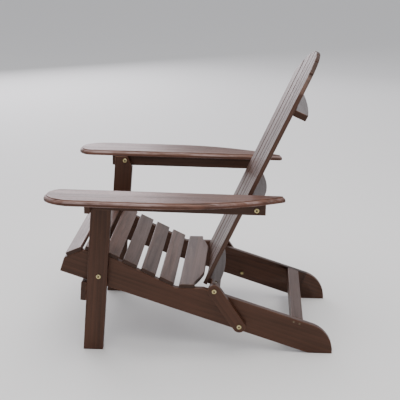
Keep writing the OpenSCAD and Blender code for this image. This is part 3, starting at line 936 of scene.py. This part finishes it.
@dataclass
class Backrest(SubAssembly):
    """The fan of back slats and the three crosspieces behind them.

    Args:
        body: The body that they ride on.
        slat_count: The number of back slats.
    """

    body: str = "backrest"
    slat_count: int = 7

    def build(self) -> None:
        """Builds the crosspieces and the slats."""
        crosspieces = ("lower_crosspiece", "middle_crosspiece", "top_crosspiece")
        self.boards(crosspieces, self.body, "frame_wood", EdgeShape.FRAME)
        slats = (f"back_slat_{i + 1}" for i in range(self.slat_count))
        self.boards(slats, self.body, "slat_wood", EdgeShape.SLAT)


@dataclass
class Arms(SubAssembly):
    """Both arms, with the support under each and the block at its front.

    Args:
        sides: The sides of the chair.
    """

    sides: tuple[str, ...] = ("left", "right")

    def build(self) -> None:
        """Builds both arms."""
        for side in self.sides:
            body = f"{side}_arm_body"
            wood = self.woods["arm"]
            supports = (f"{side}_arm_support", f"{side}_arm_block")
            ArmBoard(f"{side}_arm", body, "frame_wood", wood, EdgeShape.FRAME).make()
            self.boards(supports, body, "frame_wood", EdgeShape.FRAME)


@dataclass
class Fasteners:
    """The plated bolts, nuts, washers and screws, in their CAD shapes.

    Args:
        plated: The yellow plating.
        shaded_plating: The same plating on the nuts, rougher and with its colour darkened as
            painted shade.
        bronzed: The dull bronze of the screws and washers.
        socket_reach: A radius that holds a bolt's hex socket but not its shank.
        head_skin: A depth that holds only the flat top of a bolt's head.
    """

    plated: bpy.types.Material
    shaded_plating: bpy.types.Material
    bronzed: bpy.types.Material
    socket_reach: float = 3.7 * MM
    head_skin: float = 0.2 * MM

    def bolts(self, node: str, body: str, slot: str) -> bpy.types.Object:
        """Copies a pair of bolts on one axis and marks the faces in their hex sockets.

        Args:
            node: The bolts' CAD node.
            body: The body that they ride on.
            slot: The record's material slot; not used.

        Returns:
            The new object, which stands for the node.
        """
        low, high = (Vector(corner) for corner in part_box(node))
        axis = (low + high) / 2
        mesh = frame["nodes"][node].data.copy()
        # The faces marked here get the painted shade of the socket.
        marks = mesh.attributes.new("socket_recess", "FLOAT", "FACE")
        for face in mesh.polygons:
            points = [mesh.vertices[i].co for i in face.vertices]
            reach = max(math.hypot(p.y - axis.y, p.z - axis.z) for p in points)
            inside = reach < self.socket_reach and abs(face.center.x) < high.x - self.head_skin
            marks.data[face.index].value = 1.0 if inside else 0.0
        mesh.materials.clear()
        mesh.materials.append(self.plated)
        piece = bpy.data.objects.new(node + "_plated", mesh)
        bpy.context.scene.collection.objects.link(piece)
        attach(piece, body)
        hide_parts(node)
        return piece

    def build(self) -> None:
        """Makes the bolts, and dresses every other CAD fastener with its metal."""
        bodies = {
            node: body
            for body, nodes in frame["record"]["behaviour"]["bodies"].items() for node in nodes
        }
        metals = {"plated_steel": self.plated, "screw_steel": self.bronzed}
        for part in frame["record"]["subparts"]:
            node, slot = part["node"], part["material_slot"]
            if slot not in metals:
                continue
            if node.endswith("bolts"):
                self.bolts(node, bodies[node], slot)
            else:
                # The nuts get the darker plating, which is painted shade.
                metal = self.shaded_plating if node.endswith("pivot_nuts") else metals[slot]
                for place in frame["nodes"][node].material_slots:
                    place.material = metal
            LOG.info("fastener %s done", node)


# ---------------------------------------------------------------- setting


@dataclass(frozen=True)
class Softbox:
    """One soft light that faces the chair.

    Args:
        name: The light's name.
        at: Where it hangs, in metres.
        size: Its width and height, in metres.
        watts: Its power.
        tint: Its colour.
        aim: The point that it faces, in metres.
    """

    name: str
    at: Triple
    size: tuple[float, float]
    watts: float
    tint: Colour
    aim: Triple = (0.0, 0.0, 0.45)

    def hang(self) -> None:
        """Makes the light and turns it to the chair."""
        data = bpy.data.lights.new(self.name, "AREA")
        data.shape = "RECTANGLE"
        data.size, data.size_y = self.size
        data.energy = self.watts
        data.color = self.tint
        light = bpy.data.objects.new(self.name, data)
        light.location = self.at
        way = Vector(self.aim) - Vector(self.at)
        light.rotation_euler = way.to_track_quat("-Z", "Y").to_euler()
        bpy.context.scene.collection.objects.link(light)


@dataclass
class Studio:
    """The camera, the pale floor and the soft light.

    Args:
        lens: The camera's focal length, in millimetres.
        sensor: Its sensor's width, in millimetres.
        camera_at: Where it stands, in metres.
        look_down: How far it looks down, in degrees.
        look_aside: How far it looks to the chair's front, in degrees.
        floor_size: The floor's width, in metres.
        floor_paint: The floor's colour.
        sky: The sky's colour.
        sky_strength: The sky's brightness.
        softboxes: The soft lights.
    """

    lens: float = 79.0
    sensor: float = 36.0
    camera_at: Triple = (2.845, 0.1977, 1.383)
    look_down: float = 18.13
    look_aside: float = 3.82
    floor_size: float = 80.0
    floor_paint: Colour = (0.78, 0.78, 0.77)
    sky: Colour = (0.95, 0.95, 1.0)
    sky_strength: float = 0.72
    softboxes: tuple[Softbox, ...] = (
        Softbox("overhead", (0.3, 0.1, 3.4), (3.4, 3.2), 118.0, (1.0, 0.97, 0.94)),
        Softbox("near_high", (2.4, 0.3, 3.6), (2.0, 2.0), 14.0, (0.97, 0.96, 1.0)),
        Softbox("far_rear", (-4.4, 1.7, 1.7), (2.4, 1.8), 10.0, (0.97, 0.95, 1.0)),
        Softbox("far_side", (-4.4, -2.3, 1.9), (3.6, 2.4), 135.0, (0.96, 0.93, 1.0)),
    )

    def camera(self) -> None:
        """Places the camera."""
        down = math.radians(self.look_down)
        aside = math.radians(self.look_aside)
        ahead = Vector((
            -math.cos(aside) * math.cos(down), -math.sin(aside) * math.cos(down), -math.sin(down)
        ))
        data = bpy.data.cameras.new("camera")
        data.lens = self.lens
        data.sensor_width = self.sensor
        camera = bpy.data.objects.new("camera", data)
        camera.location = self.camera_at
        camera.rotation_euler = ahead.to_track_quat("-Z", "Y").to_euler()
        bpy.context.scene.collection.objects.link(camera)
        bpy.context.scene.camera = camera

    def floor(self) -> None:
        """Lays the plain pale floor."""
        half = self.floor_size / 2
        mesh = bpy.data.meshes.new("floor")
        corners = [(-half, -half, 0), (half, -half, 0), (half, half, 0), (-half, half, 0)]
        mesh.from_pydata(corners, [], [(0, 1, 2, 3)])
        s = Shader("floor_paint")
        s.give("Base Color", (*self.floor_paint, 1.0))
        s.give("Roughness", 0.85)
        s.give("Specular IOR Level", 0.2)
        mesh.materials.append(s.material)
        floor = bpy.data.objects.new("floor", mesh)
        bpy.context.scene.collection.objects.link(floor)

    def light(self) -> None:
        """Sets the sky and hangs the soft lights."""
        world = bpy.data.worlds.new("sky")
        world.use_nodes = True
        background = world.node_tree.nodes["Background"]
        background.inputs["Color"].default_value = (*self.sky, 1.0)
        background.inputs["Strength"].default_value = self.sky_strength
        bpy.context.scene.world = world
        for softbox in self.softboxes:
            softbox.hang()

    def build(self) -> None:
        """Sets the camera, the floor and the light."""
        self.camera()
        self.floor()
        self.light()
        LOG.info("studio ready")


def main() -> None:
    """Builds the chair's looks piece by piece."""
    logging.basicConfig(level=logging.INFO, format="%(name)s: %(message)s")
    Studio().build()
    woods = {
        "frame_wood": FRAME_WOOD.make(), "slat_wood": SLAT_WOOD.make(), "arm": ARM_WOOD.make(),
    }
    for group in (Seat(woods), FrontLegs(woods), Links(woods), Backrest(woods), Arms(woods)):
        group.build()
        LOG.info("%s done", type(group).__name__)
    Fasteners(YELLOW_ZINC.make(), SHADED_ZINC.make(), BRONZED_STEEL.make()).build()


if __name__ == "__main__":
    main()
